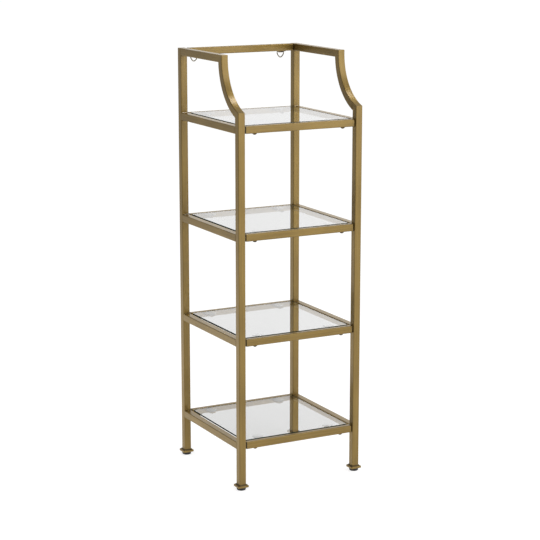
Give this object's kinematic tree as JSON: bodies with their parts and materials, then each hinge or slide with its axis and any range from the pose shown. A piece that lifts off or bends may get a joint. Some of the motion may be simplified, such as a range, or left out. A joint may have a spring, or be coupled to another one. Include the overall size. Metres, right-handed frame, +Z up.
{
  "type": "bathroom etagere",
  "caption": "Tall open bathroom etagere: gold square-tube frame with a scooped front at the top, lift-out glass shelves on suction cups, levelling feet and hanging anti-tip rings.",
  "frame": {"origin": "on the floor, under the middle of the four feet", "axes": "+Z up, +X to the right seen from the front, +Y from the scooped front to the back"},
  "size_m": [0.423, 0.419, 1.282],
  "materials": {
    "gold_paint": "satin metallic gold paint",
    "tempered_glass": "clear, polished, with a green edge",
    "clear_vinyl": "clear soft vinyl",
    "black_glide": "moulded black",
    "zinc_steel": "zinc plated"
  },
  "bodies": {
    "frame": {"front_left_leg": "gold_paint", "front_right_leg": "gold_paint", "rear_left_leg": "gold_paint", "rear_right_leg": "gold_paint", "left_arm": "gold_paint", "right_arm": "gold_paint", "left_top_rail": "gold_paint", "right_top_rail": "gold_paint", "back_top_rail": "gold_paint", "bottom_left_rail": "gold_paint", "bottom_right_rail": "gold_paint", "bottom_front_rail": "gold_paint", "bottom_back_rail": "gold_paint", "lower_left_rail": "gold_paint", "lower_right_rail": "gold_paint", "lower_front_rail": "gold_paint", "lower_back_rail": "gold_paint", "upper_left_rail": "gold_paint", "upper_right_rail": "gold_paint", "upper_front_rail": "gold_paint", "upper_back_rail": "gold_paint", "top_left_rail": "gold_paint", "top_right_rail": "gold_paint", "top_front_rail": "gold_paint", "top_back_rail": "gold_paint", "front_left_foot_plate": "gold_paint", "front_right_foot_plate": "gold_paint", "rear_left_foot_plate": "gold_paint", "rear_right_foot_plate": "gold_paint", "bottom_front_left_cup": "clear_vinyl", "bottom_front_right_cup": "clear_vinyl", "bottom_back_left_cup": "clear_vinyl", "bottom_back_right_cup": "clear_vinyl", "lower_front_left_cup": "clear_vinyl", "lower_front_right_cup": "clear_vinyl", "lower_back_left_cup": "clear_vinyl", "lower_back_right_cup": "clear_vinyl", "upper_front_left_cup": "clear_vinyl", "upper_front_right_cup": "clear_vinyl", "upper_back_left_cup": "clear_vinyl", "upper_back_right_cup": "clear_vinyl", "top_front_left_cup": "clear_vinyl", "top_front_right_cup": "clear_vinyl", "top_back_left_cup": "clear_vinyl", "top_back_right_cup": "clear_vinyl"},
    "bottom_shelf": {"bottom_glass_shelf": "tempered_glass"},
    "lower_shelf": {"lower_glass_shelf": "tempered_glass"},
    "upper_shelf": {"upper_glass_shelf": "tempered_glass"},
    "top_shelf": {"top_glass_shelf": "tempered_glass"},
    "left_ring": {"left_anchor_ring": "zinc_steel"},
    "right_ring": {"right_anchor_ring": "zinc_steel"},
    "front_left_leveller": {"front_left_stud": "zinc_steel"},
    "front_right_leveller": {"front_right_stud": "zinc_steel"},
    "rear_left_leveller": {"rear_left_stud": "zinc_steel"},
    "rear_right_leveller": {"rear_right_stud": "zinc_steel"},
    "front_left_foot": {"front_left_glide": "black_glide"},
    "front_right_foot": {"front_right_glide": "black_glide"},
    "rear_left_foot": {"rear_left_glide": "black_glide"},
    "rear_right_foot": {"rear_right_glide": "black_glide"}
  },
  "joints": [
    {"name": "bottom_shelf_lift", "type": "slide", "parent": "frame", "child": "bottom_shelf", "axis": [0, 0, 1], "range_m": [0, 0.06]},
    {"name": "lower_shelf_lift", "type": "slide", "parent": "frame", "child": "lower_shelf", "axis": [0, 0, 1], "range_m": [0, 0.06]},
    {"name": "upper_shelf_lift", "type": "slide", "parent": "frame", "child": "upper_shelf", "axis": [0, 0, 1], "range_m": [0, 0.06]},
    {"name": "top_shelf_lift", "type": "slide", "parent": "frame", "child": "top_shelf", "axis": [0, 0, 1], "range_m": [0, 0.06]},
    {"name": "left_ring_swing", "type": "hinge", "parent": "frame", "child": "left_ring", "pos_m": [-0.149, 0.2064, 1.2566], "axis": [1, 0, 0], "range_deg": [-60, 165]},
    {"name": "right_ring_swing", "type": "hinge", "parent": "frame", "child": "right_ring", "pos_m": [0.149, 0.2064, 1.2566], "axis": [1, 0, 0], "range_deg": [-60, 165]},
    {"name": "front_left_extend", "type": "slide", "parent": "frame", "child": "front_left_leveller", "axis": [0, 0, -1], "range_m": [0, 0.01]},
    {"name": "front_right_extend", "type": "slide", "parent": "frame", "child": "front_right_leveller", "axis": [0, 0, -1], "range_m": [0, 0.01]},
    {"name": "rear_left_extend", "type": "slide", "parent": "frame", "child": "rear_left_leveller", "axis": [0, 0, -1], "range_m": [0, 0.01]},
    {"name": "rear_right_extend", "type": "slide", "parent": "frame", "child": "rear_right_leveller", "axis": [0, 0, -1], "range_m": [0, 0.01]},
    {"name": "front_left_turn", "type": "hinge", "parent": "front_left_leveller", "child": "front_left_foot", "pos_m": [-0.194, -0.192, 0], "axis": [0, 0, -1], "range_deg": [0, 2880]},
    {"name": "front_right_turn", "type": "hinge", "parent": "front_right_leveller", "child": "front_right_foot", "pos_m": [0.194, -0.192, 0], "axis": [0, 0, -1], "range_deg": [0, 2880]},
    {"name": "rear_left_turn", "type": "hinge", "parent": "rear_left_leveller", "child": "rear_left_foot", "pos_m": [-0.194, 0.192, 0], "axis": [0, 0, -1], "range_deg": [0, 2880]},
    {"name": "rear_right_turn", "type": "hinge", "parent": "rear_right_leveller", "child": "rear_right_foot", "pos_m": [0.194, 0.192, 0], "axis": [0, 0, -1], "range_deg": [0, 2880]}
  ],
  "couplings": [
    {"joint": "front_left_extend", "follows": "front_left_turn", "m_per_rad": 0.0001989},
    {"joint": "front_right_extend", "follows": "front_right_turn", "m_per_rad": 0.0001989},
    {"joint": "rear_left_extend", "follows": "rear_left_turn", "m_per_rad": 0.0001989},
    {"joint": "rear_right_extend", "follows": "rear_right_turn", "m_per_rad": 0.0001989}
  ]
}
